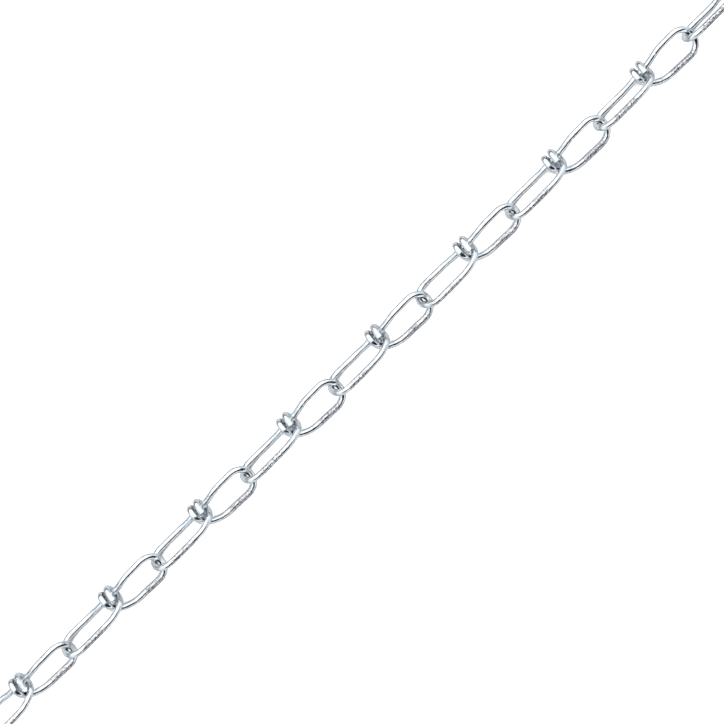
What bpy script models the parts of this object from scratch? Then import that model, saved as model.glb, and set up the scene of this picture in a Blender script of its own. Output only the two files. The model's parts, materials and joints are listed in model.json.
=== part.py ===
"""One metre of knotted steel chain: 20 links, each bent from one round wire, lying straight on a floor.

Each link has two long loops, turned about 90 degrees to each other, and a knot between them, where each
end of the wire is wrapped once round the wire that runs straight through. The chain runs along X, its
knots stand out towards +Y, and Z is up. Some links lie rolled a few degrees to one side.
"""

import math

import bpy
from mathutils import Matrix, Quaternion, Vector

# Sizes are in millimetres, and become metres in make_link.
WIRE = 2.8
PITCH = 50.0
LINKS = 20
ROOT_LINK = 10
LINK_GAP = 0.7

# Where two links hook together, measured along X from the knot before it, and the hinge's place in Y,
# which slides across as one link lies higher than the other.
CROSSING = 23.7
HINGE_Y = 0.13
HINGE_SLIDE = 0.8
LOOP_A_END = PITCH - CROSSING + (WIRE + LINK_GAP) / 2
LOOP_B_END = CROSSING + (WIRE + LINK_GAP) / 2
END_BEND = 6.2
BEND_STEPS = 12

# The straight legs as (y, z) from the chain's axis. Loop A lies towards -X of the knot, loop B towards +X.
DROP = 4.5
A_UPPER = (4.88, -DROP)
A_LOWER = (-4.17, DROP)
B_UPPER = (4.65, DROP)
B_LOWER = (-4.45, -DROP)

# One wire end's way from its leg, round the straight wire and down in front of it, as (x, y, z). The
# other end is the same, turned half round about Y.
TAIL = (
    (-8.6, -4.1, 4.5),
    (-7.2, -4.05, 4.36),
    (-4.8, -3.75, 3.9),
    (-1.6, -2.75, 2.65),
    (1.0, -1.3, 1.2),
    (2.3, 0.35, -0.6),
    (2.75, 2.2, -1.95),
    (2.7, 4.2, -2.5),
    (2.3, 6.3, -1.6),
    (1.8, 7.12, 0.4),
    (1.35, 6.4, 2.5),
    (1.0, 4.4, 3.5),
    (0.8, 2.6, 3.75),
    (0.65, 1.1, 3.7),
)

# The straight wire's way through the knot, from loop A's upper leg to loop B's.
THROUGH = (
    (-11.5, 4.8, -4.5),
    (-10.1, 4.75, -4.25),
    (-7.6, 4.45, -3.1),
    (-4.0, 4.15, -1.2),
    (0.0, 4.05, 0.0),
    (4.0, 4.05, 1.2),
    (7.6, 4.2, 3.1),
    (10.1, 4.42, 4.25),
    (11.5, 4.5, 4.5),
)

# How far each link lies rolled about the chain, in degrees, towards +Z from +Y. A rolled link lies higher.
ROLLS = (0, 4, -3, 2, 6, -2, 6, 12, 3, 0, -3, 3, 8, 0, -7, -16, -9, -3, 4, 0)

# How far each knot lies off the chain's line, in Y.
SHIFTS = (0, 0.1, 0.2, 0, -0.2, 0.1, 0.5, 0.8, 0.5, 0, -0.3, -0.2, -0.1, -0.2, 0, 0.2, 0.3, 0.1, -0.1, 0)

# The section is a ten-sided tube with the area of the round wire.
SIDES = 10
SECTION_RADIUS = WIRE / 2 * math.sqrt(2 * math.pi / (SIDES * math.sin(2 * math.pi / SIDES)))
MOST_TURN = math.radians(28)
SPAN_STEPS = 24
LEVEL = 1e-4

ZINC = (0.74, 0.76, 0.78, 1.0)
ROUGHNESS = 0.28


def clear_scene():
    for obj in list(bpy.data.objects):
        bpy.data.objects.remove(obj)


def half_turned(point):
    """The point turned half round about Y, which swaps the two loops of a link."""
    return (-point[0], point[1], -point[2])


def catmull_rom(before, start, end, after, share):
    """A point between start and end on a centripetal Catmull-Rom curve."""
    t0 = 0.0
    t1 = t0 + (start - before).length ** 0.5
    t2 = t1 + (end - start).length ** 0.5
    t3 = t2 + (after - end).length ** 0.5
    t = t1 + (t2 - t1) * share
    a1 = before.lerp(start, (t - t0) / (t1 - t0))
    a2 = start.lerp(end, (t - t1) / (t2 - t1))
    a3 = end.lerp(after, (t - t2) / (t3 - t2))
    b1 = a1.lerp(a2, (t - t0) / (t2 - t0))
    b2 = a2.lerp(a3, (t - t1) / (t3 - t1))
    return b1.lerp(b2, (t - t1) / (t2 - t1))


def fine_line(points):
    """A smooth, finely divided line through the points."""
    points = [Vector(point) for point in points]
    padded = [points[0] * 2 - points[1], *points, points[-1] * 2 - points[-2]]
    line = []
    for index in range(len(points) - 1):
        for step in range(SPAN_STEPS):
            line.append(catmull_rom(*padded[index : index + 4], step / SPAN_STEPS))
    line.append(points[-1].copy())
    return line


def curve(points):
    """The smooth line through the points, with a point kept wherever it has turned by MOST_TURN."""
    line = fine_line(points)
    turns = [0.0]
    for index in range(1, len(line) - 1):
        ahead = line[index + 1] - line[index]
        behind = line[index] - line[index - 1]
        turns.append(turns[-1] + ahead.angle(behind))
    turns.append(turns[-1])
    pieces = math.ceil(turns[-1] / MOST_TURN)
    kept = [line[0]]
    for piece in range(1, pieces):
        wanted = turns[-1] * piece / pieces
        kept.append(next(point for point, turn in zip(line, turns) if turn >= wanted))
    return kept + [line[-1]]


def end_bend(tip, side, start, end):
    """A loop's closed end, from the leg at start to the leg at end."""
    points = []
    for step in range(BEND_STEPS + 1):
        angle = math.pi * step / BEND_STEPS
        share = (1 + math.cos(angle)) / 2
        along = tip - END_BEND * (1 - math.sin(angle))
        across = Vector(end).lerp(Vector(start), share)
        points.append(Vector((side * along, across.x, across.y)))
    return points


def centre_line():
    """The wire from cut end to cut end, and the two points between which its section may turn."""
    a_tail = curve(TAIL[::-1])
    a_bend = end_bend(LOOP_A_END, -1, A_LOWER, A_UPPER)
    through = curve(THROUGH)
    b_bend = end_bend(LOOP_B_END, 1, B_UPPER, B_LOWER)
    b_tail = curve([half_turned(point) for point in TAIL])
    line = a_tail + a_bend + through + b_bend
    settled_a = len(a_tail) + len(a_bend)
    settled_b = len(line) - 1
    line += b_tail
    for point in line:
        point.z = max(point.z, -DROP)
    return line, settled_a, settled_b


def tangents(line):
    """The wire's direction at each point, level at both ends of each straight leg."""
    found = []
    for index, point in enumerate(line):
        ahead = line[min(index + 1, len(line) - 1)] - point
        behind = point - line[max(index - 1, 0)]
        way = ahead.normalized() + behind.normalized()
        if abs(abs(point.z) - DROP) < LEVEL:
            way.z = 0.0
        found.append(way.normalized())
    return found


def carried(normals, ways, order):
    """Carries a normal along the line without twist, in the given order of points."""
    for here, there in zip(order, order[1:]):
        bend = ways[here].rotation_difference(ways[there])
        turned = bend @ normals[here]
        normals[there] = (turned - ways[there] * turned.dot(ways[there])).normalized()


def section_normals(line, ways, settled_a, settled_b):
    """A normal for each point, with a side of the section flat on the floor along both resting legs."""
    normals = {settled_a: Vector((0, 0, 1))}
    carried(normals, ways, list(range(settled_a, -1, -1)))
    carried(normals, ways, list(range(settled_a, len(line))))
    up = Vector((0, 0, 1))
    side = ways[settled_b].cross(normals[settled_b])
    lean = math.atan2(up.dot(side), up.dot(normals[settled_b]))
    step = 2 * math.pi / SIDES
    lean -= step * round(lean / step)
    lengths = [0.0]
    for first, second in zip(line, line[1:]):
        lengths.append(lengths[-1] + (second - first).length)
    span = lengths[settled_b] - lengths[settled_a]
    turned = []
    for index, way in enumerate(ways):
        share = min(max((lengths[index] - lengths[settled_a]) / span, 0.0), 1.0)
        turned.append(Quaternion(way, lean * share) @ normals[index])
    return turned


def wire_mesh():
    """Points and faces of one link, in millimetres, with its knot at the origin."""
    line, settled_a, settled_b = centre_line()
    ways = tangents(line)
    normals = section_normals(line, ways, settled_a, settled_b)
    points = []
    faces = []
    for here, way, normal in zip(line, ways, normals):
        side = way.cross(normal)
        for corner in range(SIDES):
            angle = 2 * math.pi * (corner + 0.5) / SIDES
            reach = normal * math.cos(angle) + side * math.sin(angle)
            points.append(here + reach * SECTION_RADIUS)
    for ring in range(len(line) - 1):
        for corner in range(SIDES):
            near = ring * SIDES
            beside = (corner + 1) % SIDES
            faces.append((near + corner, near + beside, near + SIDES + beside, near + SIDES + corner))
    faces.append(tuple(reversed(range(SIDES))))
    last = (len(line) - 1) * SIDES
    faces.append(tuple(range(last, last + SIDES)))
    return points, faces


def zinc_material(name):
    material = bpy.data.materials.new(name)
    material.use_nodes = True
    shader = material.node_tree.nodes["Principled BSDF"]
    shader.inputs["Base Color"].default_value = ZINC
    shader.inputs["Metallic"].default_value = 1.0
    shader.inputs["Roughness"].default_value = ROUGHNESS
    return material


def hinge_offset(number, heights):
    """A link's own hinge, from the chain's line at its knot: it hangs on the next link to ROOT_LINK."""
    if number == ROOT_LINK:
        return Vector((0.0, SHIFTS[number - 1], 0.0))
    first = number if number < ROOT_LINK else number - 1
    along = CROSSING if number < ROOT_LINK else CROSSING - PITCH
    rise = heights[first] - heights[first - 1]
    between = (SHIFTS[first] + SHIFTS[first - 1]) / 2
    return Vector((along, HINGE_Y + HINGE_SLIDE * rise + between, 0.0))


def laid(points, number):
    """The link's points rolled about X, shifted and stood on the floor, and the height of its knot."""
    turn = Matrix.Rotation(math.radians(ROLLS[number - 1]), 3, "X")
    points = [turn @ point for point in points]
    height = -min(point.z for point in points)
    return [point + Vector((0.0, SHIFTS[number - 1], height)) for point in points], height


def first_knot(links):
    """Where link 1's knot goes in plan, so that the chain's box is centred in X and Y."""
    run = (LINKS - 1) * PITCH
    along = [point.x for point in links[0]]
    across = [point.y for points in links for point in points]
    return Vector((-(min(along) + max(along) + run) / 2, -(min(across) + max(across)) / 2, 0.0))


def make_link(number, points, faces, knot, origin):
    """One link. Its points and its hinge, the origin, are measured from the floor at knot, in Y too."""
    name = f"link_{number:02d}"
    mesh = bpy.data.meshes.new(name)
    mesh.from_pydata([(point - origin) / 1000 for point in points], [], faces)
    mesh.materials.append(zinc_material(name + "_zinc"))
    link = bpy.data.objects.new(name, mesh)
    bpy.context.scene.collection.objects.link(link)
    link.location = (knot + origin) / 1000
    return link


def main():
    clear_scene()
    points, faces = wire_mesh()
    lying = [laid(points, number) for number in range(1, LINKS + 1)]
    links = [points for points, _ in lying]
    heights = [height for _, height in lying]
    start = first_knot(links)
    for number in range(1, LINKS + 1):
        knot = start + Vector(((number - 1) * PITCH, 0.0, 0.0))
        origin = hinge_offset(number, heights) + Vector((0.0, 0.0, heights[number - 1]))
        make_link(number, links[number - 1], faces, knot, origin)


main()
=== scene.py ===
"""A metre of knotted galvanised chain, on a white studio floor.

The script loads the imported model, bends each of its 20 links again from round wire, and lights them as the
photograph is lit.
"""

import json
import math
import random

import bmesh
import bpy
from mathutils import Euler, Matrix, Vector
from mathutils.kdtree import KDTree

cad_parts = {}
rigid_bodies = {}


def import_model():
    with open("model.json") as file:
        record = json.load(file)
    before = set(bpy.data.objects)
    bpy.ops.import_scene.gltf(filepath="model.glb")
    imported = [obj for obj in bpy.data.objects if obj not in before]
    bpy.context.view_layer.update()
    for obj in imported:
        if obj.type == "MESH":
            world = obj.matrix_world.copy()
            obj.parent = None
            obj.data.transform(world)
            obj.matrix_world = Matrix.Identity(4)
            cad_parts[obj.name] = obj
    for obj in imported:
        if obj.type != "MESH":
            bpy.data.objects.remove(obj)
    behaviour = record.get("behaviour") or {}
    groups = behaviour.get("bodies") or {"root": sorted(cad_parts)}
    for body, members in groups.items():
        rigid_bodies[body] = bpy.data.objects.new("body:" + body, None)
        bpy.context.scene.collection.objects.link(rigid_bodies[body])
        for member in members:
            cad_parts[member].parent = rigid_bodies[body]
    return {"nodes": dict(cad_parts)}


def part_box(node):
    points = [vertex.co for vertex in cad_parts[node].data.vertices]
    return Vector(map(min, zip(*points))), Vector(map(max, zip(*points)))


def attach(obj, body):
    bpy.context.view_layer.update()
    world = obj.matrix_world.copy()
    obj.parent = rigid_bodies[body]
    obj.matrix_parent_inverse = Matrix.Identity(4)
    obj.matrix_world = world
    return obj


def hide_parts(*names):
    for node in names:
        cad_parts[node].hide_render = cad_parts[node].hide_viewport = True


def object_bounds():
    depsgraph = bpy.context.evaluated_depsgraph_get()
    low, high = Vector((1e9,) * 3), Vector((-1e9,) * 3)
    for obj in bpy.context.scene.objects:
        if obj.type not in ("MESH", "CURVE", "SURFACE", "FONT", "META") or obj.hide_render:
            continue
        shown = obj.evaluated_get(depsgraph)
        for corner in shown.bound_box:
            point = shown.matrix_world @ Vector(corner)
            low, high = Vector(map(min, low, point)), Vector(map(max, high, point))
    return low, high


bl_info = {
    "name": "Knotted Chain",
    "version": (1, 0, 0),
    "blender": (4, 5, 0),
    "location": "3D View > Sidebar > Chain",
    "description": "Bends the wire links of a knotted chain and lights them on a white floor",
    "category": "Add Mesh",
}

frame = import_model()
CAD_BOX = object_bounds()

MM = 0.001
LINKS = sorted(frame["nodes"])

# Where the knots lie: this far along from the low end of each link's CAD box, and near this line in Y.
KNOT_FROM_END = 29.48 * MM
CHAIN_Y = -1.329 * MM

# How far each link lies rolled about the chain, in degrees, towards +Z from +Y, and its shift in Y, in
# millimetres.
ROLLS = (0, 4, -3, 2, 6, -2, 6, 12, 3, 0, -3, 3, 8, 0, -7, -16, -9, -3, 4, 0)
SHIFTS = (0, 0.1, 0.2, 0, -0.2, 0.1, 0.5, 0.8, 0.5, 0, -0.3, -0.2, -0.1, -0.2, 0, 0.2, 0.3, 0.1, -0.1, 0)

# One link's wire, in millimetres from its knot. Loop A lies towards -X, loop B towards +X. Each loop has two
# straight legs, given here as (y, z), which lie LEG above or below the chain's line.
LOOP_A_TIP = 28.04
LOOP_B_TIP = 25.44
END_BEND = 6.2
BEND_STEPS = 36
LEG = 4.47
A_UPPER = (4.88, -LEG)
A_LOWER = (-4.17, LEG)
B_UPPER = (4.65, LEG)
B_LOWER = (-4.45, -LEG)

# One wire end's way from its leg, round the straight wire and down in front of it, as (x, y, z). The other
# end is the same, turned half round about Y.
TAIL = (
    (-12.0, -4.13, LEG),
    (-8.6, -4.1, LEG),
    (-7.2, -4.05, 4.34),
    (-4.8, -3.75, 3.89),
    (-1.6, -2.75, 2.65),
    (1.0, -1.3, 1.2),
    (2.3, 0.35, -0.6),
    (2.75, 2.2, -1.95),
    (2.7, 4.2, -2.5),
    (2.3, 6.3, -1.6),
    (1.8, 7.1, 0.4),
    (1.35, 6.4, 2.5),
    (1.0, 4.4, 3.5),
    (0.8, 2.6, 3.75),
    (0.65, 1.1, 3.7),
)

# The straight wire's way through the knot, from loop A's upper leg to loop B's.
THROUGH = (
    (-15.0, 4.83, -LEG),
    (-11.5, 4.8, -LEG),
    (-10.1, 4.75, -4.23),
    (-7.6, 4.45, -3.1),
    (-4.0, 4.15, -1.2),
    (0.0, 4.05, 0.0),
    (4.0, 4.05, 1.2),
    (7.6, 4.2, 3.1),
    (10.1, 4.42, 4.23),
    (11.5, 4.5, LEG),
    (15.0, 4.57, LEG),
)

# How finely the wire's line is drawn: SPAN_STEPS points from each given point to the next, which are then
# spaced LINE_STEP apart, in millimetres.
SPAN_STEPS = 12
LINE_STEP = 0.55
SMOOTHING_PASSES = 4
NO_LENGTH = 1e-9

# How the tube's mesh is finished.
MERGE_DISTANCE = 0.001 * MM
CUT_EDGE_STEPS = 2
SMOOTH_BELOW = math.radians(40)

# No two links are wrapped quite alike: this many are modelled, each cut end up to TAIL_SPREAD millimetres
# shorter, and the rest are copies in turn. Each finish is moved along its wire by up to FINISH_SPREAD metres.
WRAPS = 6
TAIL_SPREAD = 0.7
FINISH_SPREAD = 5
SEED = 31

# A spot is shut in where the next link, or the far end of its own wire, comes this near, and there the zinc
# gets painted shade. The far end is what lies more than FAR_ALONG away along the wire. All in millimetres.
PITCH = 50.0
SHUT_REACH = 1.6
FAR_ALONG = 130.0

# Where the bending tools wear the lower legs: the wear grows from the first value of a pair to the second.
# They are millimetres from the knot, and for WEAR_OUTWARDS radii from the middle of the wire towards +Y.
# The side that faces the other leg gets INNER_WEAR of it.
WEAR_DOWN = (1.5, -2.5)
WEAR_PAST_KNOT = (7.0, 11.0)
WEAR_BEFORE_BEND = (24.0, 20.0)
WEAR_OUTWARDS = (0.35, -0.25)
INNER_WEAR = 0.3

# The patterns of the zinc, as repeats in a metre along the wire and across it.
DRAWN_LINES = (120.0, 5200.0, 5200.0)
FLAKES = (1000.0, 3000.0, 3000.0)
DENTS = (1000.0, 1900.0, 1900.0)
PATCHES = (90.0, 160.0, 160.0)
NICKS = (800.0, 1400.0, 1400.0)

# Smooth steps, as the two values that each runs between and, where it isn't from 0 to 1, what it gives there.
# The first of these sets how shut in a spot must be before painted shade darkens its zinc.
CREVICE_SHADE_EDGE = (0.2, 0.46)
WORN_PATCHES = (0.3, 0.5, 0.45, 1.0)
STRAY_PATCHES = (0.5, 0.7, 0.08, 0.5)
NICK_EDGE = (0.4, 0.25)
FLAKE_EDGE = (0.46, 0.54)
FLAKES_BY_WEAR = (0.0, 1.0, 0.12, 1.0)

# How much of its colour a nick shows.
NICK_COLOUR = 0.7

# What the drawing lines and the wear add to the roughness.
DRAWN_ROUGHNESS = 0.12
WORN_ROUGHNESS = 0.08

# How deep each pattern is, as a multiple of the relief, and how the dents and flakes deepen with the wear.
PATCH_DEPTH = 2.5
DRAWN_DEPTH = 0.08
FLAKE_DEPTH = 0.5
DENTS_BY_WEAR = (0.0, 1.0, 0.1, 1.0)
RAISED_BY_WEAR = (0.0, 1.0, 0.05, 1.0)

# The camera looks down on the chain a little from its -Y side, and the chain runs up to the right. AIM_LINK
# counts from 0, and the lengths are in millimetres.
AIM_LINK = 11
AIM_BEHIND_KNOT = 11.46
FRAME_WIDTH = 290.6
CHAIN_SLOPE = math.radians(44.75)
CAMERA_TILT = math.radians(12.0)
SENSOR = 36.0

# The floor is white paper with a faint tooth. Its extra light comes in as the share of what is above it that
# is open goes through OPEN_ABOVE, so that hollows under the wires stay dark as painted shadow.
FLOOR_SIZE = 30.0
TOOTH_REPEATS = (900.0, 900.0, 900.0)
TOOTH_DEPTH = 0.02 * MM
OPEN_ABOVE = (0.45, 0.52)

# The dark side of the studio, as angles that fall from straight overhead towards -Y, and the angle from
# which the other side, +Y, falls into a dark edge of this strength. DARK_EDGE is half of a soft edge's width.
DARK_FROM = math.radians(27.0)
DARK_TO = math.radians(80.0)
DARK_EDGE = math.radians(7.0)
FAR_EDGE = math.radians(-58.0)
FAR_DARKNESS = 0.9

# Towards the two ends of the studio the dark side fades out and the tinted light comes in, as shares of the
# way from the middle to straight along X.
DARK_FADES = (0.96, 0.72)
ENDS_BEGIN = (0.55, 0.85)
WHITE = (1.0, 1.0, 1.0, 1.0)

HIDDEN_PROPERTIES = ("rna_type", "name")


class ChainWireSettings(bpy.types.PropertyGroup):
    """Sizes of the wire and of its cut ends."""

    diameter: bpy.props.FloatProperty(
        name="Wire Diameter",
        description="Diameter of the round wire",
        default=2.8 * MM,
        min=0.5 * MM,
        max=10 * MM,
        precision=5,
        unit="LENGTH",
        subtype="DISTANCE",
    )
    roundness: bpy.props.IntProperty(
        name="Roundness",
        description="Steps in a quarter of the wire's section",
        default=6,
        min=2,
        max=16,
    )
    cut_edge: bpy.props.FloatProperty(
        name="Cut Edge",
        description="Width of the rounded edge at each cut end of the wire",
        default=0.16 * MM,
        min=0.01 * MM,
        max=0.5 * MM,
        precision=5,
        unit="LENGTH",
        subtype="DISTANCE",
    )


class ChainZincSettings(bpy.types.PropertyGroup):
    """Colours and finish of the galvanised surface, and the dark colour of the painted shade in its crevices.
    """

    bright: bpy.props.FloatVectorProperty(
        name="Bright Zinc",
        description="Colour of the clean zinc coat",
        default=(0.8, 0.83, 0.86),
        min=0.0,
        max=1.0,
        size=3,
        subtype="COLOR",
    )
    dull: bpy.props.FloatVectorProperty(
        name="Dull Zinc",
        description="Colour of the duller flakes of the zinc coat",
        default=(0.27, 0.28, 0.295),
        min=0.0,
        max=1.0,
        size=3,
        subtype="COLOR",
    )
    scuff: bpy.props.FloatVectorProperty(
        name="Scuff",
        description="Colour of the scuffs and nicks that the bending tools leave",
        default=(0.15, 0.155, 0.17),
        min=0.0,
        max=1.0,
        size=3,
        subtype="COLOR",
    )
    # Painted shade: a dark colour that stands in for the shadow where wires come close, not a colour of the
    # zinc.
    crevice_shade: bpy.props.FloatVectorProperty(
        name="Crevice Shade",
        description="Colour of the zinc where two links, or the wraps of a knot, come close together",
        default=(0.012, 0.02, 0.035),
        min=0.0,
        max=1.0,
        size=3,
        subtype="COLOR",
    )
    roughness: bpy.props.FloatProperty(
        name="Roughness",
        description="Roughness of the bright zinc",
        default=0.1,
        min=0.0,
        max=1.0,
        subtype="FACTOR",
    )
    relief: bpy.props.FloatProperty(
        name="Relief",
        description="Depth of the dents, by which the waves, drawing lines and flakes go too",
        default=0.22 * MM,
        min=0.0,
        max=1.0 * MM,
        precision=6,
        unit="LENGTH",
        subtype="DISTANCE",
    )


class ChainStageSettings(bpy.types.PropertyGroup):
    """Floor, light and camera."""

    floor_colour: bpy.props.FloatVectorProperty(
        name="Floor Colour",
        description="Colour of the plain floor",
        default=(0.7, 0.71, 0.72),
        min=0.0,
        max=1.0,
        size=3,
        subtype="COLOR",
    )
    table_light: bpy.props.FloatProperty(
        name="Table Light",
        description="Extra brightness of the floor where the camera looks at it",
        default=1.0,
        min=0.0,
        max=5.0,
    )
    # Spots of the floor that get no extra brightness stay dark as painted shadow.
    painted_shadow_reach: bpy.props.FloatProperty(
        name="Painted Shadow Reach",
        description="How near the wires close over a spot of the floor that gets no extra brightness",
        default=8 * MM,
        min=0.0,
        max=0.1,
        precision=4,
        unit="LENGTH",
        subtype="DISTANCE",
    )
    dome: bpy.props.FloatProperty(
        name="Dome Light",
        description="Strength of the white light from overhead and from +Y",
        default=1.7,
        min=0.0,
        max=10.0,
    )
    shade: bpy.props.FloatVectorProperty(
        name="Dark Side",
        description="Light from the dark side of the studio, which draws the dark line along each wire",
        default=(0.015, 0.018, 0.025),
        min=0.0,
        max=1.0,
        size=3,
        subtype="COLOR",
    )
    ends: bpy.props.FloatVectorProperty(
        name="Tinted Ends",
        description="Light from the two ends of the studio, which shades the knots and the bends",
        default=(1.05, 1.18, 1.24),
        min=0.0,
        max=2.0,
        size=3,
        subtype="COLOR",
    )
    lens: bpy.props.FloatProperty(
        name="Lens",
        description="Focal length of the camera, in millimetres",
        default=150.0,
        min=20.0,
        max=400.0,
        unit="CAMERA",
    )


# The wire


def half_turned(point):
    """The point turned half round about Y, which swaps the two loops of a link."""
    return (-point[0], point[1], -point[2])


def point_between(before, start, end, after, share):
    """A point between start and end on a smooth curve that passes through all four points."""
    t0 = 0.0
    t1 = t0 + (start - before).length ** 0.5
    t2 = t1 + (end - start).length ** 0.5
    t3 = t2 + (after - end).length ** 0.5
    t = t1 + (t2 - t1) * share
    a1 = before.lerp(start, (t - t0) / (t1 - t0))
    a2 = start.lerp(end, (t - t1) / (t2 - t1))
    a3 = end.lerp(after, (t - t2) / (t3 - t2))
    b1 = a1.lerp(a2, (t - t0) / (t2 - t0))
    b2 = a2.lerp(a3, (t - t1) / (t3 - t1))
    return b1.lerp(b2, (t - t1) / (t2 - t1))


def curve_through(points):
    """A smooth, finely divided line through the points."""
    points = [Vector(point) for point in points]
    padded = [points[0] * 2 - points[1], *points, points[-1] * 2 - points[-2]]
    line = []
    for index in range(len(points) - 1):
        for step in range(SPAN_STEPS):
            line.append(point_between(*padded[index : index + 4], step / SPAN_STEPS))
    line.append(points[-1].copy())
    return line


def end_bend(tip, side, start, end):
    """A loop's closed end, from the leg at start to the leg at end."""
    points = []
    for step in range(BEND_STEPS + 1):
        angle = math.pi * step / BEND_STEPS
        share = (1 + math.cos(angle)) / 2
        along = tip - END_BEND * (1 - math.sin(angle))
        across = Vector(end).lerp(Vector(start), share)
        points.append(Vector((side * along, across.x, across.y)))
    return points


def evenly_spaced(line, step):
    """The same line with its points about one step apart."""
    lengths = [0.0]
    for first, second in zip(line, line[1:]):
        lengths.append(lengths[-1] + (second - first).length)
    count = round(lengths[-1] / step)
    spaced = []
    index = 0
    for place in range(count + 1):
        wanted = lengths[-1] * place / count
        while index < len(line) - 2 and lengths[index + 1] < wanted:
            index += 1
        share = (wanted - lengths[index]) / max(lengths[index + 1] - lengths[index], NO_LENGTH)
        spaced.append(line[index].lerp(line[index + 1], min(share, 1.0)))
    return spaced


def relaxed(line):
    """The line with its small kinks eased, and held inside the height of the link."""
    for _ in range(SMOOTHING_PASSES):
        middle = [
            (before + here * 2 + after) / 4 for before, here, after in zip(line, line[1:], line[2:])
        ]
        line = [line[0], *middle, line[-1]]
    for point in line:
        point.z = min(max(point.z, -LEG), LEG)
    return line


def varied_tail(points, trim):
    """A tail's points with its cut end a little shorter, as no two links are wrapped alike."""
    last = Vector(points[-1])
    before = Vector(points[-2])
    return [*points[:-1], tuple(last + (before - last).normalized() * trim)]


def wire_line(trim_a, trim_b):
    """The wire's centre line from cut end to cut end, in millimetres from the knot."""
    tail_a = varied_tail(TAIL, trim_a)
    tail_b = [half_turned(point) for point in varied_tail(TAIL, trim_b)]
    line = curve_through(tail_a[::-1])
    line += end_bend(LOOP_A_TIP, -1, A_LOWER, A_UPPER)
    line += curve_through(THROUGH)
    line += end_bend(LOOP_B_TIP, 1, B_UPPER, B_LOWER)
    line += curve_through(tail_b)
    return relaxed(evenly_spaced(line, LINE_STEP))


def carried_frames(line):
    """For each point of the line: how far along it lies, and two directions across the wire."""
    frames = []
    run = 0.0
    way = (line[1] - line[0]).normalized()
    across = way.orthogonal().normalized()
    for index, point in enumerate(line):
        ahead = line[min(index + 1, len(line) - 1)]
        behind = line[max(index - 1, 0)]
        new_way = (ahead - behind).normalized()
        across = way.rotation_difference(new_way) @ across
        across = (across - new_way * across.dot(new_way)).normalized()
        way = new_way
        if index:
            run += (point - line[index - 1]).length
        frames.append((run, across.copy(), way.cross(across)))
    return frames


def tree_of(points):
    """The points, given in millimetres, ready to be searched by their place in metres."""
    tree = KDTree(len(points))
    for index, point in enumerate(points):
        tree.insert(point * MM, index)
    tree.balance()
    return tree


def closeness(place, index, count, strands, radius):
    """How near the next link, or the wire's far end, comes to a point of the surface: 1 is touching.

    The first count strands are the wire's own line, and those after it the two neighbours'.
    """
    reach = SHUT_REACH * MM
    nearest = reach
    for _, other, distance in strands.find_range(place, radius + reach):
        if other >= count or abs(other - index) * LINE_STEP > FAR_ALONG:
            nearest = min(nearest, distance - radius)
    return min(1.0 - nearest / reach, 1.0)


def share_between(value, low, high):
    """How far the value is on its way from low to high, from 0 to 1."""
    return min(max((value - low) / (high - low), 0.0), 1.0)


def wear_at(point, outward):
    """How worn a spot is: the lower legs are, between the knot and the end bends, most on the outer side."""
    down = share_between(point.y, *WEAR_DOWN)
    past_knot = share_between(abs(point.x), *WEAR_PAST_KNOT)
    before_bend = share_between(abs(point.x), *WEAR_BEFORE_BEND)
    outer_side = INNER_WEAR + (1.0 - INNER_WEAR) * share_between(outward, *WEAR_OUTWARDS)
    return down * past_knot * before_bend * outer_side


def mark_wire_places(obj, line, radius):
    """Gives each vertex its place on the wire as if straight, how worn its leg is, and how shut in it is."""
    frames = carried_frames(line)
    own = tree_of(line)
    neighbours = [point + Vector((side * PITCH, 0.0, 0.0)) for side in (-1, 1) for point in line]
    strands = tree_of(line + neighbours)
    mesh = obj.data
    mesh.attributes.new("wire_place", "FLOAT_VECTOR", "POINT")
    mesh.attributes.new("worn", "FLOAT", "POINT")
    mesh.attributes.new("shut_in", "FLOAT", "POINT")
    places = mesh.attributes["wire_place"].data
    worn = mesh.attributes["worn"].data
    shut_in = mesh.attributes["shut_in"].data
    for vertex in mesh.vertices:
        centre, index, _ = own.find(vertex.co)
        run, across, beside = frames[index]
        reach = vertex.co - centre
        places[vertex.index].vector = (run * MM, reach.dot(across), reach.dot(beside))
        worn[vertex.index].value = wear_at(line[index], reach.y / radius)
        shut_in[vertex.index].value = closeness(vertex.co, index, len(line), strands, radius)


def deselect_all():
    for obj in bpy.context.view_layer.objects:
        obj.select_set(False)


def select_only(obj):
    deselect_all()
    obj.select_set(True)
    bpy.context.view_layer.objects.active = obj


def round_cut_ends(obj, width):
    """Merges the cut faces, the only ones with over four corners, into the tube and rounds their edges."""
    select_only(obj)
    bpy.ops.object.mode_set(mode="EDIT")
    bpy.ops.mesh.select_mode(type="VERT")
    bpy.ops.mesh.select_all(action="SELECT")
    bpy.ops.mesh.remove_doubles(threshold=MERGE_DISTANCE)
    bpy.ops.mesh.normals_make_consistent(inside=False)
    bpy.ops.mesh.select_all(action="DESELECT")
    bpy.ops.mesh.select_mode(type="EDGE")
    mesh = bmesh.from_edit_mesh(obj.data)
    for face in mesh.faces:
        if len(face.verts) > 4:
            for edge in face.edges:
                edge.select = True
    mesh.select_flush_mode()
    bmesh.update_edit_mesh(obj.data)
    bpy.ops.mesh.bevel(offset=width, offset_type="OFFSET", segments=CUT_EDGE_STEPS, clamp_overlap=True)
    bpy.ops.object.mode_set(mode="OBJECT")
    bpy.ops.object.shade_smooth_by_angle(angle=SMOOTH_BELOW)


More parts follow.
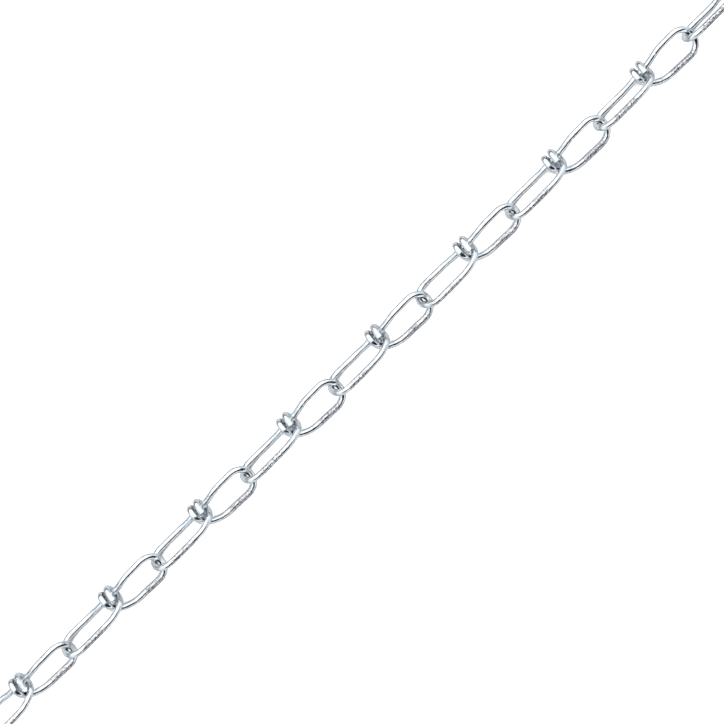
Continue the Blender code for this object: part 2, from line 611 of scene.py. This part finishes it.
def bend_link(line, settings):
    """A mesh of one link, its knot at the origin: a tube along the wire's line, closed at both cut ends."""
    deselect_all()
    bpy.ops.curve.primitive_nurbs_path_add(location=(0.0, 0.0, 0.0))
    obj = bpy.context.object
    wire = obj.data
    wire.splines.clear()
    spline = wire.splines.new("POLY")
    spline.points.add(len(line) - 1)
    for point, place in zip(spline.points, line):
        point.co = (*(place * MM), 1.0)
    wire.dimensions = "3D"
    wire.twist_mode = "MINIMUM"
    wire.bevel_depth = settings.diameter / 2
    wire.bevel_resolution = settings.roundness - 1
    wire.use_fill_caps = True
    bpy.ops.object.convert(target="MESH")
    obj = bpy.context.object
    round_cut_ends(obj, settings.cut_edge)
    return obj


# Zinc


class NodeSketch:
    """A short way to add nodes to a material or a world and join them."""

    def __init__(self, tree):
        self.tree = tree

    def node(self, kind):
        return self.tree.nodes.new(kind)

    def feed(self, node, name, value):
        """Joins a value that comes from another node to a socket, or sets a plain one."""
        socket = node.inputs[name] if isinstance(name, int) else self.socket(node, name)
        if hasattr(value, "is_output"):
            self.tree.links.new(value, socket)
        else:
            socket.default_value = value

    def socket(self, node, name):
        """The socket in use: some nodes have one of the same name for each kind of value."""
        return next(each for each in node.inputs if each.name == name and each.enabled)

    def attribute(self, name, output):
        made = self.node("ShaderNodeAttribute")
        made.attribute_name = name
        return made.outputs[output]

    def repeated(self, place, repeats):
        """The place in repeats of a pattern, along each axis."""
        made = self.node("ShaderNodeMapping")
        self.feed(made, "Vector", place)
        self.feed(made, "Scale", repeats)
        return made.outputs["Vector"]

    def noise(self, place, repeats, detail=2.0, roughness=0.5):
        made = self.node("ShaderNodeTexNoise")
        self.feed(made, "Vector", self.repeated(place, repeats))
        self.feed(made, "Scale", 1.0)
        self.feed(made, "Detail", detail)
        self.feed(made, "Roughness", roughness)
        return made.outputs["Fac"]

    def cells(self, place, repeats):
        made = self.node("ShaderNodeTexVoronoi")
        self.feed(made, "Vector", self.repeated(place, repeats))
        self.feed(made, "Scale", 1.0)
        return made.outputs["Distance"]

    def ramp(self, value, low, high, to_low=0.0, to_high=1.0):
        """A smooth step from to_low to to_high, as the value goes from low to high."""
        made = self.node("ShaderNodeMapRange")
        made.interpolation_type = "SMOOTHSTEP"
        self.feed(made, "Value", value)
        self.feed(made, "From Min", low)
        self.feed(made, "From Max", high)
        self.feed(made, "To Min", to_low)
        self.feed(made, "To Max", to_high)
        return made.outputs["Result"]

    def reckoned(self, operation, first, second=0.0):
        made = self.node("ShaderNodeMath")
        made.operation = operation
        self.feed(made, 0, first)
        self.feed(made, 1, second)
        return made.outputs["Value"]

    def product(self, first, second):
        return self.reckoned("MULTIPLY", first, second)

    def blended(self, share, first, second):
        made = self.node("ShaderNodeMix")
        made.data_type = "RGBA"
        self.feed(made, "Factor", share)
        self.feed(made, "A", first)
        self.feed(made, "B", second)
        return next(out for out in made.outputs if out.enabled)

    def bump(self, height, distance, normal=None):
        made = self.node("ShaderNodeBump")
        self.feed(made, "Height", height)
        self.feed(made, "Strength", 1.0)
        self.feed(made, "Distance", distance)
        if normal is not None:
            self.feed(made, "Normal", normal)
        return made.outputs["Normal"]


def opaque(colour):
    return (*colour, 1.0)


def zinc_wear(sketch, patches):
    """The wear of the lower legs in patches, and stray worn patches on the rest of the wire."""
    on_legs = sketch.product(sketch.attribute("worn", "Fac"), sketch.ramp(patches, *WORN_PATCHES))
    return sketch.reckoned("MAXIMUM", on_legs, sketch.ramp(patches, *STRAY_PATCHES))


def zinc_colour(sketch, settings, place, flakes, wear):
    """Bright zinc with duller flakes, dark nicks, and painted shade in the crevices where wires come close.
    """
    flaked = sketch.ramp(flakes, *FLAKE_EDGE)
    dullness = sketch.product(flaked, sketch.ramp(wear, *FLAKES_BY_WEAR))
    nick = sketch.product(sketch.ramp(sketch.cells(place, NICKS), *NICK_EDGE), wear)
    # Painted shade: shut-in spots are blended towards the dark crevice colour.
    crevice_shade = sketch.ramp(sketch.attribute("shut_in", "Fac"), *CREVICE_SHADE_EDGE)
    colour = sketch.blended(dullness, opaque(settings.bright), opaque(settings.dull))
    colour = sketch.blended(sketch.product(nick, NICK_COLOUR), colour, opaque(settings.scuff))
    return sketch.blended(crevice_shade, colour, opaque(settings.crevice_shade))


def zinc_roughness(sketch, settings, drawn, wear):
    rough = sketch.reckoned("ADD", sketch.product(drawn, DRAWN_ROUGHNESS), settings.roughness)
    return sketch.reckoned("ADD", rough, sketch.product(wear, WORN_ROUGHNESS))


def zinc_relief(sketch, settings, place, patches, drawn, flakes, wear):
    """Slow waves, drawing lines, and the dents and flakes, which are deeper where the wire is worn."""
    dents = sketch.product(sketch.noise(place, DENTS), sketch.ramp(wear, *DENTS_BY_WEAR))
    raised = sketch.product(flakes, sketch.ramp(wear, *RAISED_BY_WEAR))
    normal = sketch.bump(patches, settings.relief * PATCH_DEPTH)
    normal = sketch.bump(drawn, settings.relief * DRAWN_DEPTH, normal)
    normal = sketch.bump(dents, settings.relief, normal)
    return sketch.bump(raised, settings.relief * FLAKE_DEPTH, normal)


def galvanised_zinc(settings):
    """Bright zinc with drawing lines along the wire, duller flakes, nicks on the worn legs, and painted
    crevice shade.
    """
    material = bpy.data.materials.new("galvanised_zinc")
    material.use_nodes = True
    sketch = NodeSketch(material.node_tree)
    shader = material.node_tree.nodes["Principled BSDF"]
    place = sketch.attribute("wire_place", "Vector")
    drawn = sketch.noise(place, DRAWN_LINES)
    flakes = sketch.noise(place, FLAKES, detail=3.0, roughness=0.6)
    patches = sketch.noise(place, PATCHES)
    wear = zinc_wear(sketch, patches)
    sketch.feed(shader, "Base Color", zinc_colour(sketch, settings, place, flakes, wear))
    sketch.feed(shader, "Metallic", 1.0)
    sketch.feed(shader, "Roughness", zinc_roughness(sketch, settings, drawn, wear))
    sketch.feed(shader, "Normal", zinc_relief(sketch, settings, place, patches, drawn, flakes, wear))
    return material


# Pieces


def knot_of(index, radius):
    """Where a link's two loops meet, in the frame, when its lowest leg lies on the floor."""
    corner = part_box(LINKS[index])[0]
    turn = math.radians(ROLLS[index])
    drop = max(-y * math.sin(turn) - z * math.cos(turn) for y, z in (A_UPPER, B_LOWER))
    across = CHAIN_Y + SHIFTS[index] * MM
    return Vector((corner[0] + KNOT_FROM_END, across, corner[2] + drop * MM + radius))


def copy_link(model):
    """A copy of a modelled link with its own mesh."""
    select_only(model)
    bpy.ops.object.duplicate(linked=False)
    return bpy.context.object


def lay_down(piece, knot, roll):
    """Moves a link from the origin to its place in the chain, rolled about the chain's line."""
    select_only(piece)
    piece.matrix_world = Matrix.Translation(knot) @ Matrix.Rotation(math.radians(roll), 4, "X")
    bpy.ops.object.transform_apply(location=True, rotation=True, scale=True)


def shift_finish(obj, shift):
    """Moves the finish along the wire, so that no two links carry the same marks."""
    for place in obj.data.attributes["wire_place"].data:
        place.vector.x += shift


class CHAIN_OT_links(bpy.types.Operator):
    """Bend the wire links of the chain and give them their zinc"""

    bl_idname = "chain.links"
    bl_label = "Bend the Links"

    def execute(self, context):
        settings = context.scene.chain_wire
        zinc = galvanised_zinc(context.scene.chain_zinc)
        spread = random.Random(SEED)
        pieces = []
        for _ in range(WRAPS):
            line = wire_line(spread.uniform(0, TAIL_SPREAD), spread.uniform(0, TAIL_SPREAD))
            piece = bend_link(line, settings)
            mark_wire_places(piece, line, settings.diameter / 2)
            piece.data.materials.append(zinc)
            pieces.append(piece)
        for index in range(WRAPS, len(LINKS)):
            pieces.append(copy_link(pieces[index % WRAPS]))
        for index, (link, piece) in enumerate(zip(LINKS, pieces)):
            piece.name = link.replace("link", "wire")
            lay_down(piece, knot_of(index, settings.diameter / 2), ROLLS[index])
            shift_finish(piece, spread.uniform(0, FINISH_SPREAD))
            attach(piece, link)
            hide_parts(link)
        return {"FINISHED"}


# Stage


def paper_glow_with_painted_shadow(sketch, settings):
    """How bright the paper shines where it is looked at, which is not at all in hollows under the wires:
    painted shadow.
    """
    open_above = sketch.node("ShaderNodeAmbientOcclusion")
    sketch.feed(open_above, "Distance", settings.painted_shadow_reach)
    # Painted shadow: the glow is cut where little above the floor is open.
    lit = sketch.ramp(open_above.outputs["AO"], *OPEN_ABOVE)
    seen = sketch.node("ShaderNodeLightPath").outputs["Is Camera Ray"]
    return sketch.product(sketch.product(seen, lit), settings.table_light)


def floor_material(settings):
    """Matt white paper, lit from below where it is looked at, as a light table is, with painted shadow in
    hollows.
    """
    material = bpy.data.materials.new("white_paper")
    material.use_nodes = True
    sketch = NodeSketch(material.node_tree)
    shader = material.node_tree.nodes["Principled BSDF"]
    place = sketch.node("ShaderNodeTexCoord").outputs["Object"]
    sketch.feed(shader, "Base Color", opaque(settings.floor_colour))
    sketch.feed(shader, "Roughness", 1.0)
    sketch.feed(shader, "Specular IOR Level", 0.0)
    sketch.feed(shader, "Normal", sketch.bump(sketch.noise(place, TOOTH_REPEATS), TOOTH_DEPTH))
    sketch.feed(shader, "Emission Color", WHITE)
    sketch.feed(shader, "Emission Strength", paper_glow_with_painted_shadow(sketch, settings))
    return material


def dark_side(sketch, fall, to_ends):
    """How far a direction lies in the dark side of the studio, from 0 to 1."""
    from_top = sketch.ramp(fall, DARK_FROM - DARK_EDGE, DARK_FROM + DARK_EDGE)
    to_floor = sketch.ramp(fall, DARK_TO + DARK_EDGE, DARK_TO - DARK_EDGE)
    return sketch.product(sketch.product(from_top, to_floor), sketch.ramp(to_ends, *DARK_FADES))


def dome_light(sketch, settings):
    """White light with tinted ends, a dark far edge, and a dark side that draws a dark line on each wire."""
    split = sketch.node("ShaderNodeSeparateXYZ")
    sketch.feed(split, "Vector", sketch.node("ShaderNodeTexCoord").outputs["Generated"])
    fall = sketch.reckoned("ARCTAN2", sketch.product(split.outputs["Y"], -1.0), split.outputs["Z"])
    to_ends = sketch.reckoned("ABSOLUTE", split.outputs["X"])
    white = opaque((settings.dome,) * 3)
    light = sketch.blended(sketch.ramp(to_ends, *ENDS_BEGIN), white, opaque(settings.ends))
    far_edge = sketch.ramp(fall, FAR_EDGE, FAR_EDGE - 2 * DARK_EDGE, 0.0, FAR_DARKNESS)
    light = sketch.blended(far_edge, light, opaque(settings.shade))
    return sketch.blended(dark_side(sketch, fall, to_ends), light, opaque(settings.shade))


def studio_world(settings):
    """The dome of light round the chain, which the camera itself sees as plain white."""
    world = bpy.data.worlds.new("studio_dome")
    world.use_nodes = True
    sketch = NodeSketch(world.node_tree)
    seen = sketch.node("ShaderNodeLightPath").outputs["Is Camera Ray"]
    background = world.node_tree.nodes["Background"]
    sketch.feed(background, "Color", sketch.blended(seen, dome_light(sketch, settings), WHITE))
    sketch.feed(background, "Strength", 1.0)
    return world


def add_camera(settings):
    """Looks down on the chain as the photograph does, with the chain running up to the right."""
    corner, top = (Vector(each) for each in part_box(LINKS[AIM_LINK]))
    aim = Vector((corner.x + KNOT_FROM_END - AIM_BEHIND_KNOT * MM, CHAIN_Y, (corner.z + top.z) / 2))
    turn = Euler((CAMERA_TILT, 0.0, 0.0)).to_matrix() @ Euler((0.0, 0.0, -CHAIN_SLOPE)).to_matrix()
    distance = FRAME_WIDTH * MM * settings.lens / SENSOR
    bpy.ops.object.camera_add(location=aim + turn @ Vector((0.0, 0.0, distance)), rotation=turn.to_euler())
    camera = bpy.context.object
    camera.name = "camera"
    camera.data.lens = settings.lens
    camera.data.sensor_width = SENSOR
    bpy.context.scene.camera = camera


class CHAIN_OT_stage(bpy.types.Operator):
    """Lay the white floor and set the light and the camera"""

    bl_idname = "chain.stage"
    bl_label = "Set the Stage"

    def execute(self, context):
        settings = context.scene.chain_stage
        deselect_all()
        bpy.ops.mesh.primitive_plane_add(size=FLOOR_SIZE, location=(0.0, 0.0, CAD_BOX[0][2]))
        floor = context.object
        floor.name = "floor"
        bpy.ops.object.transform_apply(location=True, rotation=True, scale=True)
        floor.data.materials.append(floor_material(settings))
        context.scene.world = studio_world(settings)
        context.scene.view_settings.view_transform = "Standard"
        add_camera(settings)
        return {"FINISHED"}


class CHAIN_PT_panel(bpy.types.Panel):
    """Lists the steps that make the chain and its stage"""

    bl_label = "Knotted Chain"
    bl_idname = "CHAIN_PT_panel"
    bl_space_type = "VIEW_3D"
    bl_region_type = "UI"
    bl_category = "Chain"

    def list_settings(self, group):
        for name in group.bl_rna.properties.keys():
            if name not in HIDDEN_PROPERTIES:
                self.layout.prop(group, name)

    def draw(self, context):
        self.list_settings(context.scene.chain_wire)
        self.list_settings(context.scene.chain_zinc)
        self.layout.operator(CHAIN_OT_links.bl_idname)
        self.list_settings(context.scene.chain_stage)
        self.layout.operator(CHAIN_OT_stage.bl_idname)


CLASSES = (
    ChainWireSettings,
    ChainZincSettings,
    ChainStageSettings,
    CHAIN_OT_links,
    CHAIN_OT_stage,
    CHAIN_PT_panel,
)


def register():
    for each in CLASSES:
        bpy.utils.register_class(each)
    bpy.types.Scene.chain_wire = bpy.props.PointerProperty(type=ChainWireSettings)
    bpy.types.Scene.chain_zinc = bpy.props.PointerProperty(type=ChainZincSettings)
    bpy.types.Scene.chain_stage = bpy.props.PointerProperty(type=ChainStageSettings)


def unregister():
    del bpy.types.Scene.chain_stage
    del bpy.types.Scene.chain_zinc
    del bpy.types.Scene.chain_wire
    for each in reversed(CLASSES):
        bpy.utils.unregister_class(each)


def main():
    register()
    bpy.ops.chain.links()
    bpy.ops.chain.stage()


if __name__ == "__main__":
    main()
